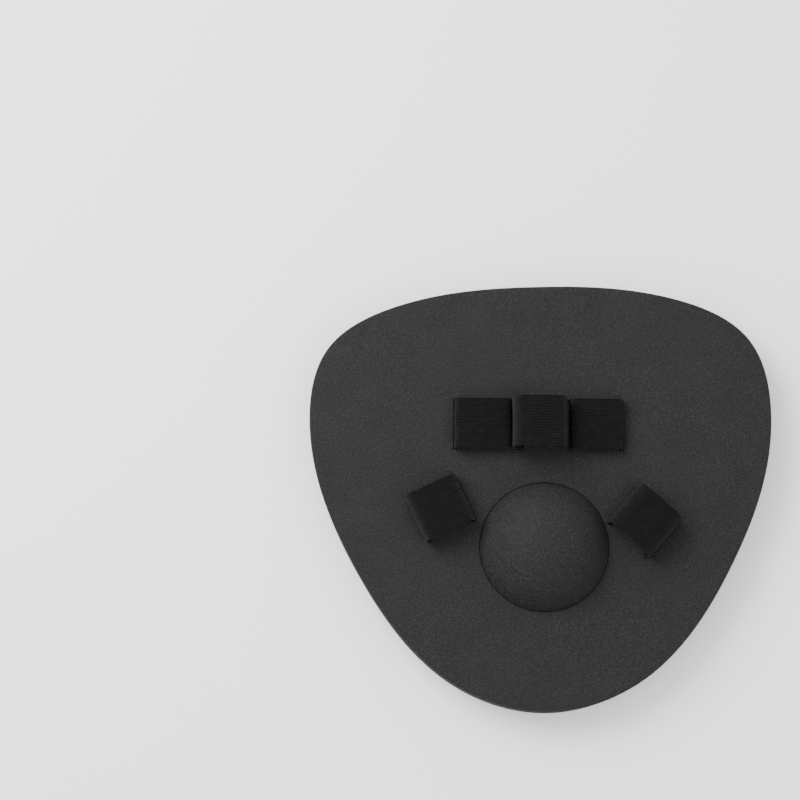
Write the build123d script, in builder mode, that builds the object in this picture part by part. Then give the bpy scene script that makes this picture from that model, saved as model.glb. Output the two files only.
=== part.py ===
"""Palm-held striking pad: a flat foam board with a palm dome and elastic finger loops on its back.

The pad lies on its striking face. Origin under the middle of the board, +X towards the thumb
loop, +Y towards the fingertips, +Z out of the back towards the hand. Millimetres.
"""

from build123d import *
from dataclasses import dataclass
from math import asin, cos, radians, sin, sqrt
import os

# Board: two foam sheets between two thin skins
board_width = 231.0
board_length = 213.0
skin_thickness = 1.0
strike_foam_thickness = 10.0
back_foam_thickness = 8.0
rim_radius = 0.7

# Right half of the board's outline, from the middle of the top edge to the middle of the bottom
# edge: shares of half the board's width, and of its length down from the top
outline_shares = [(0, 0), (0.60, 0.037), (0.92, 0.14), (1, 0.31), (0.80, 0.672), (0.40, 0.933), (0, 1)]

# Palm dome, standing in a round hole through the back foam
palm_x = 0.0
palm_y = -25.0
dome_diameter = 63.6
dome_rise = 20.0
dome_cover_thickness = 1.0
dome_groove = 0.8
dome_hole_rim = 0.5

# Elastic webbing, let through slits in the back foam and bonded in pockets under it
webbing_width = 25.0
webbing_thickness = 1.2
tail_length = 9.0
slit_clearance = 0.3
tail_clearance = 0.3
neck_height = 1.0

# Strip of three finger loops: the foam left between the dome's hole and its slits, how far it
# stands to the side of the dome, the webbing's run, and the slits' spacings
strip_land = 16.0
strip_sideways = -0.9
strip_angle = -1.8
ring_pitch = 32.0
middle_pitch = 25.0
index_pitch = 26.0

# Thumb and little finger loops: the way to each from the palm dome's middle, the foam left
# between the dome's hole and their slits, the webbing's run, and the slits' spacing
thumb_bearing = 12.8
thumb_land = 0.8
thumb_angle = -43.0
thumb_pitch = 25.0
little_bearing = 157.9
little_land = 3.6
little_angle = 24.0
little_pitch = 24.6

# Heights of the board's layers
strike_foam_top = skin_thickness + strike_foam_thickness
back_foam_top = strike_foam_top + back_foam_thickness
board_back = back_foam_top + skin_thickness

dome_radius = dome_diameter / 2
dome_hole_radius = dome_radius + dome_groove
slit_width = webbing_thickness + 2 * slit_clearance
slit_length = webbing_width + 2 * slit_clearance
shared_leg_spacing = webbing_thickness + slit_clearance


def heading(angle):
    """A level direction at an angle from +X."""
    return Vector(cos(radians(angle)), sin(radians(angle)), 0)


@dataclass
class Loop:
    """An elastic band that stands over the board's back like an arch, between two slits."""

    name: str
    middle: tuple  # X and Y, from which the legs are measured
    angle: float  # of the webbing's run, from +X
    legs: tuple  # where the two legs stand along the run
    flares: tuple  # how far each side of the arch stands outside its own leg
    rise: float  # room for the finger under the crown
    shoulder: float  # radius of the arch's corners

    def plane(self, height):
        """A level plane on the loop's middle, with its X along the webbing's run."""
        return Plane(origin=(*self.middle, height), x_dir=heading(self.angle), z_dir=(0, 0, 1))

    def section_plane(self):
        """An upright plane on the loop's middle, with its X along the run and its Y up."""
        run, side = heading(self.angle), heading(self.angle - 90)
        return Plane(origin=(*self.middle, 0), x_dir=run, z_dir=side)


def beside_dome(bearing, land, angle, pitch):
    """X and Y of a loop's middle, at a bearing from the palm dome's middle.

    It stands so far out that the nearest corner of its slits leaves the land of foam beside the
    dome's hole.
    """
    way, run, across = heading(bearing), heading(angle), heading(angle + 90)
    reach = dome_hole_radius + land
    distances = []
    for along in (-1, 1):
        for aside in (-1, 1):
            corner = run * (along * (pitch + slit_width) / 2) + across * (aside * slit_length / 2)
            ahead = way.dot(corner)
            distances.append(sqrt(reach**2 - corner.dot(corner) + ahead**2) - ahead)
    return (palm_x + max(distances) * way.X, palm_y + max(distances) * way.Y)


# Slits of the finger strip, along it from its middle. Neighbouring loops share a slit
strip_start = -(ring_pitch + middle_pitch + index_pitch) / 2
ring_middle_slit = strip_start + ring_pitch
middle_index_slit = ring_middle_slit + middle_pitch
strip_end = middle_index_slit + index_pitch
strip_reach = dome_hole_radius + strip_land + slit_length / 2
strip_middle = (palm_x + strip_sideways, palm_y + strip_reach)

ring = Loop(
    name="ring_finger_loop",
    middle=strip_middle,
    angle=strip_angle,
    legs=(strip_start, ring_middle_slit - shared_leg_spacing / 2),
    flares=(0.0, -3.9),
    rise=5.0,
    shoulder=2.4,
)
middle = Loop(
    name="middle_finger_loop",
    middle=strip_middle,
    angle=strip_angle,
    legs=(ring_middle_slit + shared_leg_spacing / 2, middle_index_slit - shared_leg_spacing / 2),
    flares=(3.9, -1.8),
    rise=15.5,
    shoulder=5.0,
)
index = Loop(
    name="index_finger_loop",
    middle=strip_middle,
    angle=strip_angle,
    legs=(middle_index_slit + shared_leg_spacing / 2, strip_end),
    flares=(-1.0, 0.0),
    rise=5.0,
    shoulder=2.4,
)
thumb = Loop(
    name="thumb_loop",
    middle=beside_dome(thumb_bearing, thumb_land, thumb_angle, thumb_pitch),
    angle=thumb_angle,
    legs=(-thumb_pitch / 2, thumb_pitch / 2),
    flares=(0.0, 1.5),
    rise=14.0,
    shoulder=6.0,
)
little = Loop(
    name="little_finger_loop",
    middle=beside_dome(little_bearing, little_land, little_angle, little_pitch),
    angle=little_angle,
    legs=(-little_pitch / 2, little_pitch / 2),
    flares=(1.5, 0.0),
    rise=10.5,
    shoulder=5.0,
)
loops = [ring, middle, index, thumb, little]


def loop_path(loop):
    """Corners and radii of a band's middle line: tail, leg, arch, leg, tail, left to right."""
    tail = strike_foam_top - tail_clearance - webbing_thickness / 2
    neck = board_back + neck_height
    crown = board_back + loop.rise + webbing_thickness / 2
    waist = crown - 1.5 * loop.shoulder
    bend_radius = max(webbing_thickness, (waist - neck) / 2)
    left, right = loop.legs
    corners = [(left + tail_length, tail), (left, tail)]
    radii = [webbing_thickness]
    for leg, outward, flare in ((left, -1, loop.flares[0]), (right, 1, loop.flares[1])):
        side = leg + outward * flare
        bend = [(leg, neck), (side, waist)] if flare else []
        turns = bend + [(side, crown)] if leg == left else [(side, crown)] + bend[::-1]
        corners += turns
        radii += [loop.shoulder if turn == (side, crown) else bend_radius for turn in turns]
    corners += [(right, tail), (right - tail_length, tail)]
    return corners, radii + [webbing_thickness]


def cut_slits():
    """Take the slits for every leg out of the sketch in hand."""
    for loop in loops:
        for leg in loop.legs:
            with Locations(loop.plane(0).location * Location((leg, 0))):
                Rectangle(slit_width, slit_length, mode=Mode.SUBTRACT)


def cut_dome_hole():
    """Take the palm dome's round hole out of the sketch in hand."""
    with Locations((palm_x, palm_y)):
        Circle(dome_hole_radius, mode=Mode.SUBTRACT)


def save(node, name):
    node.part.label = name
    export_step(node.part, f"parts/{name}.step")


os.makedirs("parts", exist_ok=True)

with BuildSketch() as board_outline:
    with BuildLine():
        points = [(x * board_width / 2, (0.5 - y) * board_length) for x, y in outline_shares]
        right_half = Spline(*points, tangents=[(1, 0), (-1, 0)], tangent_scalars=[1, 1])
        mirror(right_half, about=Plane.YZ)
    make_face()

with BuildPart() as strike_skin:
    add(board_outline.sketch)
    extrude(amount=skin_thickness)
    fillet(strike_skin.faces().sort_by(Axis.Z)[0].edges(), min(rim_radius, 0.8 * skin_thickness))
save(strike_skin, "strike_skin")

with BuildPart() as strike_foam:
    with BuildSketch(Plane.XY.offset(skin_thickness)):
        add(board_outline.sketch)
    extrude(amount=strike_foam_thickness)
    pocket_depth = webbing_thickness + tail_clearance
    pocket_length = tail_length + slit_width / 2 + tail_clearance
    for loop in loops:
        with BuildSketch(loop.plane(strike_foam_top)):
            for leg, inward in zip(loop.legs, (1, -1)):
                with Locations((leg + inward * (pocket_length - slit_width) / 2, 0)):
                    Rectangle(pocket_length, slit_length)
        extrude(amount=-pocket_depth, mode=Mode.SUBTRACT)
save(strike_foam, "strike_foam")

with BuildPart() as back_foam:
    with BuildSketch(Plane.XY.offset(strike_foam_top)):
        add(board_outline.sketch)
        cut_slits()
        cut_dome_hole()
    extrude(amount=back_foam_thickness)
save(back_foam, "back_foam")

with BuildPart() as back_skin:
    with BuildSketch(Plane.XY.offset(back_foam_top)):
        add(board_outline.sketch)
        cut_slits()
        cut_dome_hole()
    extrude(amount=skin_thickness)
    back_face = back_skin.faces().sort_by(Axis.Z)[-1]
    fillet(back_face.outer_wire().edges(), min(rim_radius, 0.8 * skin_thickness))
    hole_rim = back_skin.edges().filter_by(GeomType.CIRCLE).sort_by(Axis.Z)[-1]
    fillet(hole_rim, min(dome_hole_rim, 0.8 * skin_thickness))
save(back_skin, "back_skin")

# The dome's crown is part of a ball, and its cover follows the same middle at a larger radius
dome_foam_radius = dome_radius - dome_cover_thickness
ball_radius = (dome_radius**2 + dome_rise**2) / (2 * dome_rise)
ball_height = board_back + dome_rise - ball_radius
palm_upright = Plane(origin=(palm_x, palm_y, 0), x_dir=(1, 0, 0), z_dir=(0, -1, 0))
palm_axis = Axis((palm_x, palm_y, 0), (0, 0, 1))


def dome_section(radius, ball):
    """Right half of an upright cut through a dome: a straight side up to a ball-shaped crown."""
    half_angle = asin(radius / ball) / 2
    apex = ball_height + ball
    shoulder = ball_height + sqrt(ball**2 - radius**2)
    halfway = (ball * sin(half_angle), ball_height + ball * cos(half_angle))
    with BuildSketch(palm_upright) as section:
        with BuildLine():
            Polyline((0, apex), (0, strike_foam_top), (radius, strike_foam_top), (radius, shoulder))
            ThreePointArc((radius, shoulder), halfway, (0, apex))
        make_face()
    return section.sketch


with BuildPart() as palm_dome_foam:
    add(dome_section(dome_foam_radius, ball_radius - dome_cover_thickness))
    revolve(axis=palm_axis)
save(palm_dome_foam, "palm_dome_foam")

with BuildPart() as palm_dome_cover:
    add(dome_section(dome_radius, ball_radius))
    revolve(axis=palm_axis)
    add(palm_dome_foam.part, mode=Mode.SUBTRACT)
save(palm_dome_cover, "palm_dome_cover")

for loop in loops:
    corners, radii = loop_path(loop)
    with BuildPart() as band:
        with BuildSketch(loop.section_plane()):
            with BuildLine():
                FilletPolyline(*corners, radius=radii)
            trace(line_width=webbing_thickness)
        extrude(amount=webbing_width / 2, both=True)
    save(band, loop.name)
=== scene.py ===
"""Palm-held striking pad, back up: a skinned foam board, a palm dome and five elastic loops."""
import bpy
import bmesh
import math
import numpy as np
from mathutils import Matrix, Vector, geometry, noise


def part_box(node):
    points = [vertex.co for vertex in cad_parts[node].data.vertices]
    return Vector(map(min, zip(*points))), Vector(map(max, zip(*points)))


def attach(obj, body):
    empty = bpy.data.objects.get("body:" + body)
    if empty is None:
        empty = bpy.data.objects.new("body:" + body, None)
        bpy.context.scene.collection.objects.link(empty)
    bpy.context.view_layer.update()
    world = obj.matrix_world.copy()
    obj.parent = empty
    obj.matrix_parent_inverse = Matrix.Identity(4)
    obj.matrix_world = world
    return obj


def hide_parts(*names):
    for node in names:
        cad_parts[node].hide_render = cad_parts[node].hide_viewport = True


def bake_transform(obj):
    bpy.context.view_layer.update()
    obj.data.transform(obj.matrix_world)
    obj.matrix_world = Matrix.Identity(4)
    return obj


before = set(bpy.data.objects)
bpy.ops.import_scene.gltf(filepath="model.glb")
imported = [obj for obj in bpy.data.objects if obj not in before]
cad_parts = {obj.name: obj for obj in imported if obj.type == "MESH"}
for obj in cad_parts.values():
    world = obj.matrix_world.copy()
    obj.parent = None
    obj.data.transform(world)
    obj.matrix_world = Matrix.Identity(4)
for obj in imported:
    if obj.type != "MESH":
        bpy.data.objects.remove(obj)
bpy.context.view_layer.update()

# Shapes are made in millimetres, and a finished mesh is scaled by this to metres
MM = 0.001


def height(node, end):
    """How high a CAD node's underside (end 0) or its top (end 1) stands."""
    return round(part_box(node)[end].z / MM, 3)


# Heights of the board's layers
FOAM_LOW, FOAM_MIDDLE = height("strike_foam", 0), height("strike_foam", 1)
FOAM_TOP, BACK = height("back_foam", 1), height("back_skin", 1)

# The board's cut edges: how far each is rounded, and how far the foam stands in from the skins
STRIKING_ROUNDING = 0.45
BACK_ROUNDING = 0.48
OPENING_ROUNDING = 0.3
FOAM_ROUNDING = 0.25
FOAM_INSET = 0.12

# How far the webbing draws the back skin down at its slits, and how far from them that reaches
PULL_DEPTH = 0.28
PULL_REACH = 2.6

# Palm dome: its crown is part of a ball, which the visible cover stands just outside
PALM = (0.0, -25.0)
DOME_RADIUS = 31.8
DOME_RISE = height("palm_dome_cover", 1) - BACK
BALL_RADIUS = (DOME_RADIUS ** 2 + DOME_RISE ** 2) / (2 * DOME_RISE)
BALL_HEIGHT = BACK + DOME_RISE - BALL_RADIUS
COVER_THICKNESS = height("palm_dome_cover", 1) - height("palm_dome_foam", 1)
SIDE_SWELL = 0.1
CROWN_SWELL = 0.02
HOLE_RADIUS = 32.1

# The dome's foam stands just inside its cover
CORE_SHARE = 0.997
CORE_DROP = 0.03

# Folds in the dome's cover: the bearing in degrees and the reach from the dome's middle where they
# are deepest, how far they spread inward and outward from there, their depth, their wave in
# radians for each millimetre, the reach where they end, and the band in which they fade before it
FOLDS_BEARING = 170.0
FOLDS_REACH = 23.0
FOLDS_SPREAD = 7.0
FOLD_DEPTH = 0.34
FOLD_RATE = 3.1
FOLDS_END = 31.0
FOLDS_FADE = 2.0
# Reach at which a fold stands out sideways as much as it stands up
FOLD_TILT = 60.0

# Elastic webbing, and the slits and pockets that it goes through. The sweep step is the distance
# between the sections of a band's mesh, and the crown bend is the radius of a bowed crown
WEBBING_WIDTH = 25.0
WEBBING_THICKNESS = 1.2
RIB_PITCH = 1.3
RIB_DEPTH = 0.24
UNEVENNESS = 0.5
SWEEP_STEP = 0.55
TAIL = 9.0
SLIT_CLEARANCE = 0.3
SLIT_HALF_LENGTH = WEBBING_WIDTH / 2 + SLIT_CLEARANCE
SLIT_HALF_WIDTH = WEBBING_THICKNESS / 2 + SLIT_CLEARANCE
POCKET_DEPTH = WEBBING_THICKNESS + SLIT_CLEARANCE
NECK_HEIGHT = 1.0
CROWN_BEND = 60.0

# The loops: the CAD node, where the middle is and how the run turns, where the legs stand along
# the run, how far each side of the arch leans out past its leg, the room under the crown, its
# corners' radius, and how much the crown bows up between them
STRIP = ((-0.9, 36.4), -1.8)
LOOPS = {
    "ring": dict(node="ring_finger_loop", place=STRIP, legs=(-41.5, -10.25), lean=(0, -3.9),
                 rise=5.0, shoulder=2.4, bow=0.35),
    "middle": dict(node="middle_finger_loop", place=STRIP, legs=(-8.75, 14.75), lean=(3.9, -1.8),
                   rise=15.5, shoulder=8.0, bow=2.0),
    "index": dict(node="index_finger_loop", place=STRIP, legs=(16.25, 41.5), lean=(-1.0, 0),
                  rise=5.0, shoulder=2.4, bow=0.35),
    "thumb": dict(node="thumb_loop", place=((50.017, -13.636), -43.0), legs=(-12.5, 12.5),
                  lean=(0.8, 0.3), rise=14.0, shoulder=6.5, bow=0.8),
    "little": dict(node="little_finger_loop", place=((-50.561, -4.469), 24.0), legs=(-12.3, 12.3),
                   lean=(1.5, 0), rise=10.5, shoulder=5.5, bow=0.8),
}


# ---------------------------------------------------------------- materials

def new_material(name, roughness, specular):
    """A material of the given roughness and shine, with its node tree and its shader."""
    made = bpy.data.materials.new(name)
    made.use_nodes = True
    tree = made.node_tree
    shader = tree.nodes["Principled BSDF"]
    shader.inputs["Roughness"].default_value = roughness
    shader.inputs["Specular IOR Level"].default_value = specular
    return made, tree, shader


def add_node(tree, kind, settings=None, **wires):
    """A node. A wire is an input's name, with _ for each space, or i and the input's number. It
    takes a value or another node's socket."""
    made = tree.nodes.new(kind)
    for key, value in (settings or {}).items():
        setattr(made, key, value)
    for key, value in wires.items():
        socket = made.inputs[int(key[1:]) if key[1:].isdigit() else key.replace("_", " ")]
        if isinstance(value, bpy.types.NodeSocket):
            tree.links.new(value, socket)
        else:
            socket.default_value = value
    return made


def attribute(tree, name):
    return add_node(tree, "ShaderNodeAttribute", {"attribute_name": name}).outputs["Fac"]


def object_place(tree, scale=(1, 1, 1)):
    """Object coordinates, with a scale of its own on each axis."""
    place = add_node(tree, "ShaderNodeTexCoord").outputs["Object"]
    return add_node(tree, "ShaderNodeMapping", Vector=place, Scale=scale).outputs["Vector"]


def grain(tree, vector, scale, detail=3.0, roughness=0.6):
    """Noise from 0 to 1."""
    return add_node(tree, "ShaderNodeTexNoise", Vector=vector, Scale=scale, Detail=detail,
                    Roughness=roughness).outputs["Fac"]


def pebbles(tree, vector, smoothness):
    """The rounded cells of a leathery grain."""
    return add_node(tree, "ShaderNodeTexVoronoi", {"feature": "SMOOTH_F1"}, Vector=vector,
                    Scale=900.0, Smoothness=smoothness).outputs["Distance"]


def summed(tree, *parts):
    """The sum of (socket, share) pairs."""
    total = 0.0
    for value, share in parts:
        total = add_node(tree, "ShaderNodeMath", {"operation": "MULTIPLY_ADD"}, i0=value, i1=share,
                         i2=total).outputs[0]
    return total


def tone(tree, shader, value, stops):
    """Colours the shader from a value through (position, brightness) stops of near grey."""
    ramp = tree.nodes.new("ShaderNodeValToRGB")
    tree.links.new(value, ramp.inputs["Fac"])
    elements = ramp.color_ramp.elements
    while len(elements) < len(stops):
        elements.new(0.5)
    for element, (position, grey) in zip(elements, stops):
        element.position = position
        element.color = (grey, grey, grey * 1.01, 1)
    tree.links.new(ramp.outputs["Color"], shader.inputs["Base Color"])


def raised(tree, shader, *layers):
    """Bump from (height socket, depth in millimetres) layers, coarse first."""
    normal = None
    for relief, depth in layers:
        bump = add_node(tree, "ShaderNodeBump", Height=relief, Strength=1.0, Distance=depth * MM)
        if normal:
            tree.links.new(normal, bump.inputs["Normal"])
        normal = bump.outputs["Normal"]
    tree.links.new(normal, shader.inputs["Normal"])


def matched(tree, shader, value, low, high):
    """Roughness from low to high, which follows the middle of a value's range."""
    ranged = add_node(tree, "ShaderNodeMapRange", i0=value, i1=0.3, i2=0.7, i3=low, i4=high)
    tree.links.new(ranged.outputs["Result"], shader.inputs["Roughness"])


def leathery_skin():
    """Thin matt artificial leather: pebbled grain, faint uneven colour and a paler rim, which is a
    painted highlight along the rounded edge together with rubbed wear.
    """
    made, tree, shader = new_material("matt_leathery_skin", 0.75, 0.17)
    place = object_place(tree)
    pebble = pebbles(tree, place, 0.7)
    fine = grain(tree, place, 1700.0)
    nap = grain(tree, place, 1050.0)
    patches = grain(tree, place, 60.0)
    rim_highlight_and_wear = attribute(tree, "rim_highlight_and_wear")
    # The rim's share and the ramp's palest stop make the rounded edge paler: a painted highlight,
    # with some rubbed wear.
    mixed = summed(tree, (nap, 0.58), (fine, 0.34), (patches, 0.08), (rim_highlight_and_wear, 0.3))
    tone(tree, shader, mixed, [(0.37, 0.0035), (0.5, 0.0092), (0.63, 0.0205), (0.9, 0.035)])
    matched(tree, shader, nap, 0.66, 0.84)
    raised(tree, shader, (nap, 0.22), (pebble, 0.10), (fine, 0.08))
    return made


def cut_foam():
    """Closed-cell foam where a knife has cut it: tiny open cells and faint vertical drag marks."""
    made, tree, shader = new_material("cut_closed_cell_foam", 0.9, 0.15)
    cells = add_node(tree, "ShaderNodeTexVoronoi", {"feature": "F1"}, Vector=object_place(tree),
                     Scale=1900.0).outputs["Distance"]
    marks = grain(tree, object_place(tree, (1, 1, 0.15)), 700.0)
    mixed = summed(tree, (cells, 0.5), (marks, 0.5))
    tone(tree, shader, mixed, [(0.25, 0.006), (0.5, 0.009), (0.75, 0.014)])
    raised(tree, shader, (marks, 0.05), (cells, 0.10))
    return made


def stretched_cover():
    """The dome's cover: the same matt skin, a little rougher where it is pulled over a ball."""
    made, tree, shader = new_material("stretched_dome_cover", 0.8, 0.15)
    place = object_place(tree)
    pebble = pebbles(tree, place, 0.6)
    fine = grain(tree, place, 1500.0)
    nap = grain(tree, place, 1000.0)
    mixed = summed(tree, (nap, 0.6), (fine, 0.4))
    tone(tree, shader, mixed, [(0.34, 0.0045), (0.5, 0.0108), (0.66, 0.0225)])
    matched(tree, shader, nap, 0.7, 0.86)
    raised(tree, shader, (nap, 0.24), (pebble, 0.12), (fine, 0.08))
    return made


def woven_elastic():
    """Black elastic: covered rubber cords along it, with fine picks of yarn across them."""
    made, tree, shader = new_material("black_woven_elastic", 0.9, 0.09)
    cloth = add_node(tree, "ShaderNodeCombineXYZ", X=attribute(tree, "along"),
                     Y=attribute(tree, "across"), Z=0.0).outputs["Vector"]
    picks = add_node(tree, "ShaderNodeTexWave", {"bands_direction": "X"}, Vector=cloth,
                     Scale=620.0, Distortion=1.5, Detail=2.0, Detail_Scale=1.5).outputs["Fac"]
    cords = add_node(tree, "ShaderNodeTexWave", {"bands_direction": "Y"}, Vector=cloth,
                     Scale=math.pi / (10 * RIB_PITCH * MM)).outputs["Fac"]
    fuzz = grain(tree, cloth, 1800.0, 3, 0.7)
    drawn = add_node(tree, "ShaderNodeMapping", Vector=cloth, Scale=(0.36, 1.0, 1.0)).outputs[0]
    strands = grain(tree, drawn, 900.0, 2, 0.6)
    worn = grain(tree, cloth, 120.0, 2, 0.5)
    mixed = summed(tree, (cords, 0.16), (picks, 0.12), (fuzz, 0.26), (strands, 0.36), (worn, 0.1))
    tone(tree, shader, mixed, [(0.32, 0.0005), (0.5, 0.002), (0.68, 0.0065)])
    raised(tree, shader, (strands, 0.12), (picks, 0.12), (fuzz, 0.08))
    shader.inputs["Sheen Weight"].default_value = 0.04
    shader.inputs["Sheen Roughness"].default_value = 0.5
    return made


# ---------------------------------------------------------------- outlines

def run_frame(place):
    """X and Y of a loop's middle, and the cosine and sine of its run's angle."""
    (x, y), angle = place
    return x, y, math.cos(math.radians(angle)), math.sin(math.radians(angle))


def board_outline(count):
    """The CAD board's outline, anticlockwise, as a count of evenly spaced points."""
    corners = {(round(v.co.x / MM, 3), round(v.co.y / MM, 3))
               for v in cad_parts["back_foam"].data.vertices}
    corners = [Vector(c) for c in corners]
    hull = np.array([corners[i] for i in geometry.convex_hull_2d(corners)])
    if np.sum(np.cross(hull, np.roll(hull, -1, axis=0))) < 0:
        hull = hull[::-1]
    closed = np.vstack([hull, hull[:1]])
    walked = np.concatenate([[0], np.cumsum(np.linalg.norm(np.diff(closed, axis=0), axis=1))])
    stops = np.linspace(0, walked[-1], count, endpoint=False)
    loop = np.column_stack([np.interp(stops, walked, closed[:, k]) for k in (0, 1)])
    for _ in range(3):
        loop = (np.roll(loop, 1, axis=0) + 2 * loop + np.roll(loop, -1, axis=0)) / 4
    return loop


def circle(centre, radius, count):
    """A clockwise circle, as the edge of a hole."""
    turn = -np.linspace(0, 2 * math.pi, count, endpoint=False)
    return np.column_stack([centre[0] + radius * np.cos(turn), centre[1] + radius * np.sin(turn)])


def box_hole(place, start, end, corner, step):
    """A clockwise rounded box as wide as a slit is long, from start to end along a loop's run."""
    arc = 4
    high, low = SLIT_HALF_LENGTH - corner, corner - SLIT_HALF_LENGTH
    points = []
    for u, v, first in ((end - corner, high, 90), (end - corner, low, 0),
                        (start + corner, low, -90), (start + corner, high, 180)):
        for k in range(arc + 1):
            turn = math.radians(first - 90 * k / arc)
            points.append((u + corner * math.cos(turn), v + corner * math.sin(turn)))
    filled = []
    for a, b in zip(points, points[1:] + points[:1]):
        parts = max(1, round(math.dist(a, b) / step))
        filled += [(a[0] + (b[0] - a[0]) * k / parts, a[1] + (b[1] - a[1]) * k / parts)
                   for k in range(parts)]
    x, y, c, s = run_frame(place)
    return np.array([(x + u * c - v * s, y + u * s + v * c) for u, v in filled])


def slit_edges():
    """The slits: one for each leg, and one wide one where two neighbours share it."""
    ring, middle, index = (LOOPS[name]["legs"] for name in ("ring", "middle", "index"))
    spans = [(STRIP, ring[0], ring[0]), (STRIP, ring[1], middle[0]),
             (STRIP, middle[1], index[0]), (STRIP, index[1], index[1])]
    for name in ("thumb", "little"):
        spans += [(LOOPS[name]["place"], leg, leg) for leg in LOOPS[name]["legs"]]
    return [box_hole(place, first - SLIT_HALF_WIDTH, last + SLIT_HALF_WIDTH, corner=0.5, step=1.5)
            for place, first, last in spans]


def pocket_edges():
    """The shallow pockets that the bonded tails lie in. Those that meet are one pocket."""
    reach = TAIL + SLIT_CLEARANCE
    ring, index = LOOPS["ring"]["legs"], LOOPS["index"]["legs"]
    spans = [(STRIP, ring[0] - SLIT_HALF_WIDTH, ring[0] + reach),
             (STRIP, ring[1] - reach, index[0] + reach),
             (STRIP, index[1] - reach, index[1] + SLIT_HALF_WIDTH)]
    for name in ("thumb", "little"):
        place, (left, right) = LOOPS[name]["place"], LOOPS[name]["legs"]
        spans += [(place, left - SLIT_HALF_WIDTH, left + reach),
                  (place, right - reach, right + SLIT_HALF_WIDTH)]
    return [box_hole(*span, corner=0.4, step=3) for span in spans]


def moved_in(loop, distance):
    """A loop moved to its left, which is into the material, by a distance."""
    along = np.roll(loop, -1, axis=0) - np.roll(loop, 1, axis=0)
    along /= np.linalg.norm(along, axis=1)[:, None]
    return loop + distance * np.column_stack([-along[:, 1], along[:, 0]])


def odd_inside(points, loops):
    """Which points lie inside an odd number of loops."""
    inside = np.zeros(len(points), bool)
    for loop in loops:
        for (ax, ay), (bx, by) in zip(loop, np.roll(loop, -1, axis=0)):
            spans = (ay > points[:, 1]) != (by > points[:, 1])
            level = (points[:, 1] - ay) / (by - ay if by != ay else 1) * (bx - ax) + ax
            inside ^= spans & (points[:, 0] < level)
    return inside


# ---------------------------------------------------------------- mesh helpers

def add_ring(bm, loop, level):
    return [bm.verts.new((x, y, level)) for x, y in loop]


def join_rings(bm, rings):
    """Quads between rings of one loop, which keep the material on the loop's left."""
    for first, second in zip(rings, rings[1:]):
        for i in range(len(first)):
            j = (i + 1) % len(first)
            bm.faces.new((first[i], second[i], second[j], first[j]))


def grid_between(loops, pitch):
    """Points of a triangular grid that lie between the loops and not too near to them."""
    edge_points = np.vstack(loops)
    low, high = edge_points.min(0), edge_points.max(0)
    rows = np.arange(low[1] + pitch / 2, high[1], pitch * 0.866)
    grid = np.array([(x + (k % 2) * pitch / 2, y) for k, y in enumerate(rows)
                     for x in np.arange(low[0], high[0], pitch)]).reshape(-1, 2)
    near = np.full(len(grid), np.inf)
    for point in edge_points:
        near = np.minimum(near, np.sum((grid - point) ** 2, axis=1))
    return grid[odd_inside(grid, loops) & (near > (0.55 * pitch) ** 2)]


def fill_flat(bm, rings, pitch, up):
    """Triangles over the flat between rings, on a grid of the given pitch, facing up or down.
    Slivers with no area are left out."""
    least_turn = 1e-4
    loops = [np.array([v.co.xy for v in ring]) for ring in rings]
    verts = [v for ring in rings for v in ring]
    verts += add_ring(bm, grid_between(loops, pitch), rings[0][0].co.z)
    edges, start = [], 0
    for loop in loops:
        edges += [(start + i, start + (i + 1) % len(loop)) for i in range(len(loop))]
        start += len(loop)
    flat = [Vector(v.co.xy) for v in verts]
    points, _, faces, origins, _, _ = geometry.delaunay_2d_cdt(flat, edges, [], 0, 1e-6, True)
    middles = np.array([sum((points[i] for i in face), Vector((0, 0))) / 3 for face in faces])
    for face, keep in zip(faces, odd_inside(middles, loops)):
        corners = [verts[origins[i][0]] for i in face]
        turn = (corners[1].co - corners[0].co).cross(corners[2].co - corners[0].co).z
        if keep and abs(turn) > least_turn:
            bm.faces.new(corners if (turn > 0) == up else corners[::-1])


def rounded_edge(radius, low, high, steps=4):
    """(inset, height) pairs from a top flat, round its edge, down the wall and round below it."""
    turns = [math.pi / 2 * k / steps for k in range(steps + 1)]
    top = [(radius * (1 - math.sin(t)), high - radius * (1 - math.cos(t))) for t in turns]
    return top + [(inset, low + high - level) for inset, level in reversed(top)]


def finish_mesh(bm, name, material):
    """The bmesh as a named object in metres, smooth but for its sharp edges, of one material."""
    mesh = bpy.data.meshes.new(name)
    bmesh.ops.scale(bm, vec=(MM,) * 3, verts=bm.verts)
    bm.to_mesh(mesh)
    bm.free()
    mesh.materials.append(material)
    mesh.shade_smooth()
    mesh.set_sharp_from_angle(angle=math.radians(40))
    made = bpy.data.objects.new(name, mesh)
    bpy.context.scene.collection.objects.link(made)
    return made


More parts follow.
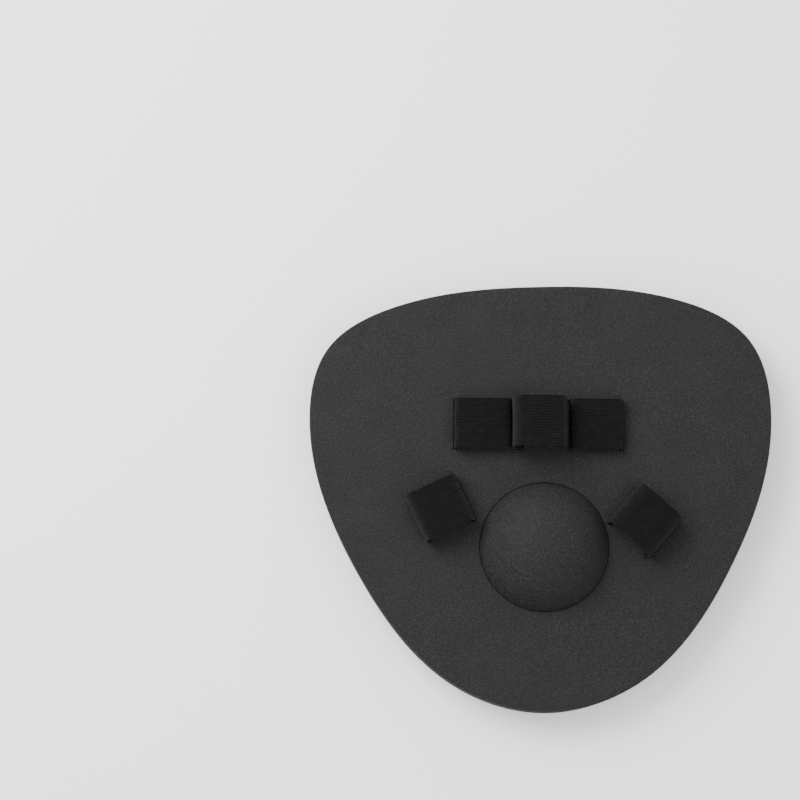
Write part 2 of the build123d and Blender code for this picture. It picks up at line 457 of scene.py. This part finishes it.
def plate(name, material, pitch, outer, edge, holes=(), hole_edge=(), pockets=(), relief=None):
    """A flat layer. edge and hole_edge hold the (inset, height) pairs down its outer edge and its
    holes' edges. relief(x, y, share) lifts a point that stands at a share of its height."""
    bm = bmesh.new()
    rim_highlight_and_wear = bm.verts.layers.float.new("rim_highlight_and_wear")
    rings = []
    for loop, profile in [(outer, edge)] + [(hole, hole_edge) for hole in holes]:
        rings.append([add_ring(bm, moved_in(loop, inset), level) for inset, level in profile])
        join_rings(bm, rings[-1])
    # The outer edge's rounding and wall are marked for the skin's paler rim, a painted highlight
    # with some rubbed wear.
    for ring in rings[0][1:-1]:
        for v in ring:
            v[rim_highlight_and_wear] = 1.0
    low, high = edge[-1][1], edge[0][1]
    openings = []
    for loop in pockets:
        sunk = [add_ring(bm, loop, high), add_ring(bm, loop, high - POCKET_DEPTH)]
        join_rings(bm, sunk)
        fill_flat(bm, [sunk[1]], 4 * pitch, True)
        openings.append(sunk[0])
    fill_flat(bm, [ring[0] for ring in rings] + openings, pitch, True)
    fill_flat(bm, [ring[-1] for ring in rings], pitch, False)
    if relief:
        for v in bm.verts:
            v.co.z += relief(v.co.x, v.co.y, (v.co.z - low) / (high - low))
    return finish_mesh(bm, name, material)


def drift(x, y, rate, layer):
    """Smooth unevenness between -1 and 1. The rate says how fast it changes across the board, and
    each layer is a pattern of its own."""
    return noise.noise(Vector((x * rate, y * rate, layer)))


def fix_to_board(piece, node):
    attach(piece, "board")
    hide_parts(node)


# ---------------------------------------------------------------- the board

def soft_waves(x, y):
    """How far the foam's own unevenness sinks a skin: broad waves with smaller ones on them."""
    return 0.16 * (drift(x, y, 0.021, 3.1) + 0.6) + 0.05 * (drift(x, y, 0.07, 8.4) + 0.6)


def webbing_pull(x, y):
    """How far the webbing draws the back skin down beside its slits."""
    sink = 0.0
    for loop in LOOPS.values():
        cx, cy, c, s = run_frame(loop["place"])
        u, v = (x - cx) * c + (y - cy) * s, (y - cy) * c - (x - cx) * s
        for leg in loop["legs"]:
            away = math.hypot(u - leg, max(0.0, abs(v) - WEBBING_WIDTH / 2))
            sink = max(sink, PULL_DEPTH * math.exp(-away / PULL_REACH))
    return sink


def make_board(skin, foam):
    outline = board_outline(420)
    foam_outline = moved_in(outline, FOAM_INSET)
    holes = [circle(PALM, HOLE_RADIUS, 180)] + slit_edges()
    striking = plate(
        "striking_skin", skin, 5.0, outline, rounded_edge(STRIKING_ROUNDING, 0.0, FOAM_LOW),
        relief=lambda x, y, share: (1 - share) * soft_waves(y, x))
    front = plate(
        "striking_foam", foam, 6.0, foam_outline,
        rounded_edge(FOAM_ROUNDING, FOAM_LOW, FOAM_MIDDLE, 2), pockets=pocket_edges())
    back_edge = rounded_edge(FOAM_ROUNDING, FOAM_MIDDLE, FOAM_TOP, 2)
    back = plate("back_foam_layer", foam, 6.0, foam_outline, back_edge, holes, back_edge)
    covering = plate(
        "back_skin_sheet", skin, 3.0, outline, rounded_edge(BACK_ROUNDING, FOAM_TOP, BACK),
        holes, rounded_edge(OPENING_ROUNDING, FOAM_TOP, BACK),
        relief=lambda x, y, share: -share * (soft_waves(x, y) + webbing_pull(x, y)))
    fix_to_board(striking, "strike_skin")
    fix_to_board(front, "strike_foam")
    fix_to_board(back, "back_foam")
    fix_to_board(covering, "back_skin")


# ---------------------------------------------------------------- the palm dome

def dome_profile(radius, ball, count):
    """(radius, height) pairs from the crown's middle down a ball and then a straight side."""
    widest = math.asin(radius / ball)
    turns = [widest * k / count for k in range(1, count + 1)]
    crown = [(ball * math.sin(t), BALL_HEIGHT + ball * math.cos(t)) for t in turns]
    top = crown[-1][1]
    side = [(radius, top - 1.0), (radius, top - 4.0), (radius, FOAM_MIDDLE)]
    return [(0.0, BALL_HEIGHT + ball)] + crown + side


def cover_wrinkles(angle, reach):
    """How far the cover stands up where it was stretched over the dome: broken rings of fine
    folds, strongest on one side, and slight lumps."""
    x, y = reach * math.cos(angle), reach * math.sin(angle)
    side = 0.5 + 0.5 * math.cos(angle - math.radians(FOLDS_BEARING))
    ring = math.exp(-((reach - FOLDS_REACH) / FOLDS_SPREAD) ** 2)
    folds = math.sin(reach * FOLD_RATE + 14.0 * drift(x, y, 0.06, 1.7))
    broken = max(0.0, 0.25 + 1.6 * drift(x, y, 0.13, 5.2))
    lumps = 0.07 * drift(x, y, 0.07, 9.6)
    fade = min(1.0, max(0.0, (FOLDS_END - reach) / FOLDS_FADE))
    return fade * (FOLD_DEPTH * side ** 2 * ring * folds * broken + lumps)


def spun_wall(bm, profile, segments, lift=None):
    """A profile spun about the palm dome's axis from a pole down, and lifted by
    lift(angle, reach). Gives its lowest ring."""
    pole = bm.verts.new((PALM[0], PALM[1], profile[0][1]))
    rings = []
    for reach, level in profile[1:]:
        ring = []
        for k in range(segments):
            angle = 2 * math.pi * k / segments
            out = lift(angle, reach) if lift else 0.0
            wide = reach + out * reach / FOLD_TILT
            ring.append(bm.verts.new((PALM[0] + wide * math.cos(angle),
                                      PALM[1] + wide * math.sin(angle), level + out)))
        rings.append(ring)
    for k in range(segments):
        bm.faces.new((pole, rings[0][k], rings[0][(k + 1) % segments]))
    join_rings(bm, rings)
    return rings[-1]


def make_dome(cover_material, foam):
    under = dome_profile(DOME_RADIUS - COVER_THICKNESS, BALL_RADIUS - COVER_THICKNESS, 24)
    over = dome_profile(DOME_RADIUS + SIDE_SWELL, BALL_RADIUS + CROWN_SWELL, 150)
    shell = bmesh.new()
    outside = spun_wall(shell, over, 300, cover_wrinkles)
    inside = spun_wall(shell, under, 300)
    join_rings(shell, [outside, inside])
    bmesh.ops.recalc_face_normals(shell, faces=shell.faces)
    cover = finish_mesh(shell, "dome_cover", cover_material)

    filling = bmesh.new()
    shrunk = [(r * CORE_SHARE, h - CORE_DROP) for r, h in under[:-1]]
    lowest = spun_wall(filling, shrunk + [(under[-1][0] * CORE_SHARE, FOAM_MIDDLE)], 96)
    filling.faces.new(lowest[::-1])
    bmesh.ops.recalc_face_normals(filling, faces=filling.faces)
    core = finish_mesh(filling, "dome_foam_core", foam)

    fix_to_board(cover, "palm_dome_cover")
    fix_to_board(core, "palm_dome_foam")


# ---------------------------------------------------------------- the elastic loops

def band_corners(loop):
    """Corners of a band's middle line as (run, height, bend radius), tail to tail."""
    left, right = loop["legs"]
    tail = FOAM_MIDDLE - SLIT_CLEARANCE - WEBBING_THICKNESS / 2
    neck = BACK + NECK_HEIGHT
    crown = BACK + loop["rise"] + WEBBING_THICKNESS / 2
    waist = crown - 1.5 * loop["shoulder"]
    bend = max(WEBBING_THICKNESS, (waist - neck) / 2)
    sides = []
    for leg, outward, lean in ((left, -1, loop["lean"][0]), (right, 1, loop["lean"][1])):
        side = leg + outward * lean
        sides.append(([(leg, neck, bend), (side, waist, bend)] if lean else [])
                     + [(side, crown, loop["shoulder"])])
    over = (sides[0][-1][0] + sides[1][-1][0]) / 2
    bowed = [(over, crown + loop["bow"], CROWN_BEND)]
    return ([(left + TAIL, tail, 0), (left, tail, WEBBING_THICKNESS)] + sides[0] + bowed
            + sides[1][::-1] + [(right, tail, WEBBING_THICKNESS), (right - TAIL, tail, 0)])


def maths(tree, operation, a, b=0.0):
    return add_node(tree, "ShaderNodeMath", {"operation": operation}, i0=a, i1=b).outputs[0]


def stored(tree, line, name, value):
    """A line with a value stored on each of its points."""
    return add_node(tree, "GeometryNodeStoreNamedAttribute",
                    {"data_type": "FLOAT", "domain": "POINT"}, Geometry=line, Name=name,
                    Value=value).outputs["Geometry"]


def middle_line(tree, given):
    """The line of corners, each one rounded by its own bend, with its length stored along it."""
    line = add_node(tree, "GeometryNodeMeshToCurve", Mesh=given["Geometry"])
    bend = add_node(tree, "GeometryNodeInputNamedAttribute", {"data_type": "FLOAT"}, Name="bend")
    rounded = add_node(tree, "GeometryNodeFilletCurve", {"mode": "POLY"},
                       Curve=line.outputs["Curve"], Count=16, Radius=bend.outputs["Attribute"],
                       Limit_Radius=True)
    even = add_node(tree, "GeometryNodeResampleCurve", {"mode": "LENGTH"},
                    Curve=rounded.outputs["Curve"], Length=given["Step"])
    upright = add_node(tree, "GeometryNodeSetCurveNormal", {"mode": "FREE"},
                       Curve=even.outputs["Curve"], Normal=given["Across"])
    walked = add_node(tree, "GeometryNodeSplineParameter")
    return stored(tree, upright.outputs["Curve"], "along", walked.outputs["Length"])


def rib_hollows(tree, given, across, up):
    """How far each point of the webbing's cut end moves up or down to leave ribs on both faces
    and plain edges."""
    turn = maths(tree, "MULTIPLY", maths(tree, "DIVIDE", across, given["Rib Pitch"]), math.pi)
    wave = maths(tree, "POWER", maths(tree, "ABSOLUTE", maths(tree, "SINE", turn)), 0.7)
    hollow = maths(tree, "MULTIPLY", maths(tree, "SUBTRACT", 1.0, wave), given["Rib Depth"])
    inner = maths(tree, "LESS_THAN", maths(tree, "ABSOLUTE", across),
                  maths(tree, "MULTIPLY", given["Width"], 0.47))
    inward = maths(tree, "MULTIPLY", maths(tree, "SIGN", up), -1.0)
    return maths(tree, "MULTIPLY", maths(tree, "MULTIPLY", hollow, inner), inward)


def webbing_end(tree, given):
    """The webbing's cut end: a rounded box with ribs on its faces."""
    box = add_node(tree, "GeometryNodeCurvePrimitiveQuadrilateral", {"mode": "RECTANGLE"},
                   Width=given["Width"], Height=given["Thickness"])
    soft = add_node(tree, "GeometryNodeFilletCurve", {"mode": "POLY"}, Curve=box.outputs["Curve"],
                    Count=4, Radius=maths(tree, "MULTIPLY", given["Thickness"], 0.3),
                    Limit_Radius=True)
    fine = add_node(tree, "GeometryNodeResampleCurve", {"mode": "LENGTH"},
                    Curve=soft.outputs["Curve"],
                    Length=maths(tree, "DIVIDE", given["Rib Pitch"], 5.0))
    position = add_node(tree, "GeometryNodeInputPosition").outputs[0]
    place = add_node(tree, "ShaderNodeSeparateXYZ", Vector=position).outputs
    sunk = rib_hollows(tree, given, place["X"], place["Y"])
    offset = add_node(tree, "ShaderNodeCombineXYZ", X=0.0, Y=sunk, Z=0.0).outputs[0]
    ribbed = add_node(tree, "GeometryNodeSetPosition", Geometry=fine.outputs["Curve"],
                      Offset=offset)
    return stored(tree, ribbed.outputs["Geometry"], "across", place["X"])


def slight_shift(tree, given):
    """An uneven offset of each point, as big as the tree's Unevenness."""
    position = add_node(tree, "GeometryNodeInputPosition").outputs[0]
    patches = add_node(tree, "ShaderNodeTexNoise", Vector=position, Scale=170.0, Detail=1.0)
    centred = add_node(tree, "ShaderNodeVectorMath", {"operation": "SUBTRACT"},
                       i0=patches.outputs["Color"], i1=(0.5, 0.5, 0.5))
    return add_node(tree, "ShaderNodeVectorMath", {"operation": "SCALE"}, i0=centred.outputs[0],
                    Scale=given["Unevenness"]).outputs[0]


def sweep_tree():
    """Node tree that sweeps ribbed webbing along a line of corners, and rounds the corners."""
    tree = bpy.data.node_groups.new("ribbed_webbing", "GeometryNodeTree")
    face = tree.interface
    face.new_socket("Geometry", in_out="INPUT", socket_type="NodeSocketGeometry")
    for name in ("Width", "Thickness", "Rib Pitch", "Rib Depth", "Step", "Unevenness"):
        face.new_socket(name, in_out="INPUT", socket_type="NodeSocketFloat")
    face.new_socket("Across", in_out="INPUT", socket_type="NodeSocketVector")
    face.new_socket("Material", in_out="INPUT", socket_type="NodeSocketMaterial")
    face.new_socket("Geometry", in_out="OUTPUT", socket_type="NodeSocketGeometry")
    given = tree.nodes.new("NodeGroupInput").outputs
    swept = add_node(tree, "GeometryNodeCurveToMesh", Curve=middle_line(tree, given),
                     Profile_Curve=webbing_end(tree, given), Fill_Caps=True)
    uneven = add_node(tree, "GeometryNodeSetPosition", Geometry=swept.outputs["Mesh"],
                      Offset=slight_shift(tree, given))
    smooth = add_node(tree, "GeometryNodeSetShadeSmooth", Geometry=uneven.outputs["Geometry"],
                      Shade_Smooth=True)
    real = add_node(tree, "GeometryNodeRealizeInstances", Geometry=smooth.outputs["Geometry"])
    dyed = add_node(tree, "GeometryNodeSetMaterial", Geometry=real.outputs["Geometry"],
                    Material=given["Material"])
    out = tree.nodes.new("NodeGroupOutput")
    tree.links.new(dyed.outputs["Geometry"], out.inputs[0])
    return tree


def plain_mesh(made, name):
    """What an object's modifiers make, as a new object with a plain mesh. The old one goes."""
    graph = bpy.context.evaluated_depsgraph_get()
    mesh = bpy.data.meshes.new_from_object(made.evaluated_get(graph), depsgraph=graph)
    bpy.data.objects.remove(made)
    mesh.name = name
    result = bpy.data.objects.new(name, mesh)
    bpy.context.scene.collection.objects.link(result)
    return result


def band_line(name, loop):
    """An object that holds a band's corners and their bends, in metres."""
    x, y, c, s = run_frame(loop["place"])
    corners = band_corners(loop)
    mesh = bpy.data.meshes.new(name + "_line")
    mesh.from_pydata([((x + u * c) * MM, (y + u * s) * MM, z * MM) for u, z, _ in corners],
                     [(i, i + 1) for i in range(len(corners) - 1)], [])
    mesh.attributes.new("bend", "FLOAT", "POINT").data.foreach_set(
        "value", [bend * MM for _, _, bend in corners])
    line = bpy.data.objects.new(name + "_line", mesh)
    bpy.context.scene.collection.objects.link(line)
    return line


def make_band(name, loop, tree, elastic):
    """An elastic loop, swept along its corners as one plain mesh that takes the place of its CAD
    node.
    """
    x, y, c, s = run_frame(loop["place"])
    line = band_line(name, loop)
    sweep = line.modifiers.new("webbing", "NODES")
    sweep.node_group = tree
    values = {"Width": WEBBING_WIDTH * MM, "Thickness": WEBBING_THICKNESS * MM,
              "Rib Pitch": RIB_PITCH * MM, "Rib Depth": RIB_DEPTH * MM, "Step": SWEEP_STEP * MM,
              "Unevenness": UNEVENNESS * MM, "Across": (-s, c, 0.0), "Material": elastic}
    for item in tree.interface.items_tree:
        if item.in_out == "INPUT" and item.name in values:
            sweep[item.identifier] = values[item.name]
    band = plain_mesh(line, name + "_elastic_band")
    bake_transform(band)
    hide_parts(loop["node"])


# ---------------------------------------------------------------- floor, light and camera

def make_floor():
    bm = bmesh.new()
    bmesh.ops.create_grid(bm, x_segments=8, y_segments=8, size=4000.0)
    pale, _, shader = new_material("pale_floor", 0.9, 0.1)
    shader.inputs["Base Color"].default_value = (0.88, 0.88, 0.88, 1)
    floor = finish_mesh(bm, "floor", pale)
    floor.location.z = -0.3 * MM


def make_light(name, place, size, power):
    """A round soft light that shines on the origin."""
    data = bpy.data.lights.new(name, "AREA")
    data.shape = "DISK"
    data.size = size
    data.energy = power
    lamp = bpy.data.objects.new(name, data)
    bpy.context.scene.collection.objects.link(lamp)
    lamp.location = place
    lamp.rotation_mode = "QUATERNION"
    lamp.rotation_quaternion = (-Vector(place)).to_track_quat("-Z", "Y")


def make_studio():
    world = bpy.data.worlds.new("studio")
    bpy.context.scene.world = world
    world.use_nodes = True
    backdrop = world.node_tree.nodes["Background"]
    backdrop.inputs["Color"].default_value = (1, 1, 1, 1)
    backdrop.inputs["Strength"].default_value = 1.6
    make_light("key_light", place=(-0.62, 0.5, 0.75), size=0.8, power=20.0)
    make_light("fill_light", place=(0.7, -0.6, 1.5), size=1.2, power=5.5)


def make_camera():
    data = bpy.data.cameras.new("camera")
    data.sensor_width = 36.0
    data.lens = 107.2
    data.clip_end = 20.0
    camera = bpy.data.objects.new("camera", data)
    bpy.context.scene.collection.objects.link(camera)
    camera.location = (-0.0595, -0.1261, 1.2)
    camera.rotation_euler = [math.radians(a) for a in (8.494, 0.697, -1.286)]
    bpy.context.scene.camera = camera


make_camera()
make_studio()
make_floor()
foam_material = cut_foam()
make_board(leathery_skin(), foam_material)
make_dome(stretched_cover(), foam_material)
webbing_tree = sweep_tree()
elastic_material = woven_elastic()
for loop_name, loop_facts in LOOPS.items():
    make_band(loop_name, loop_facts, webbing_tree, elastic_material)
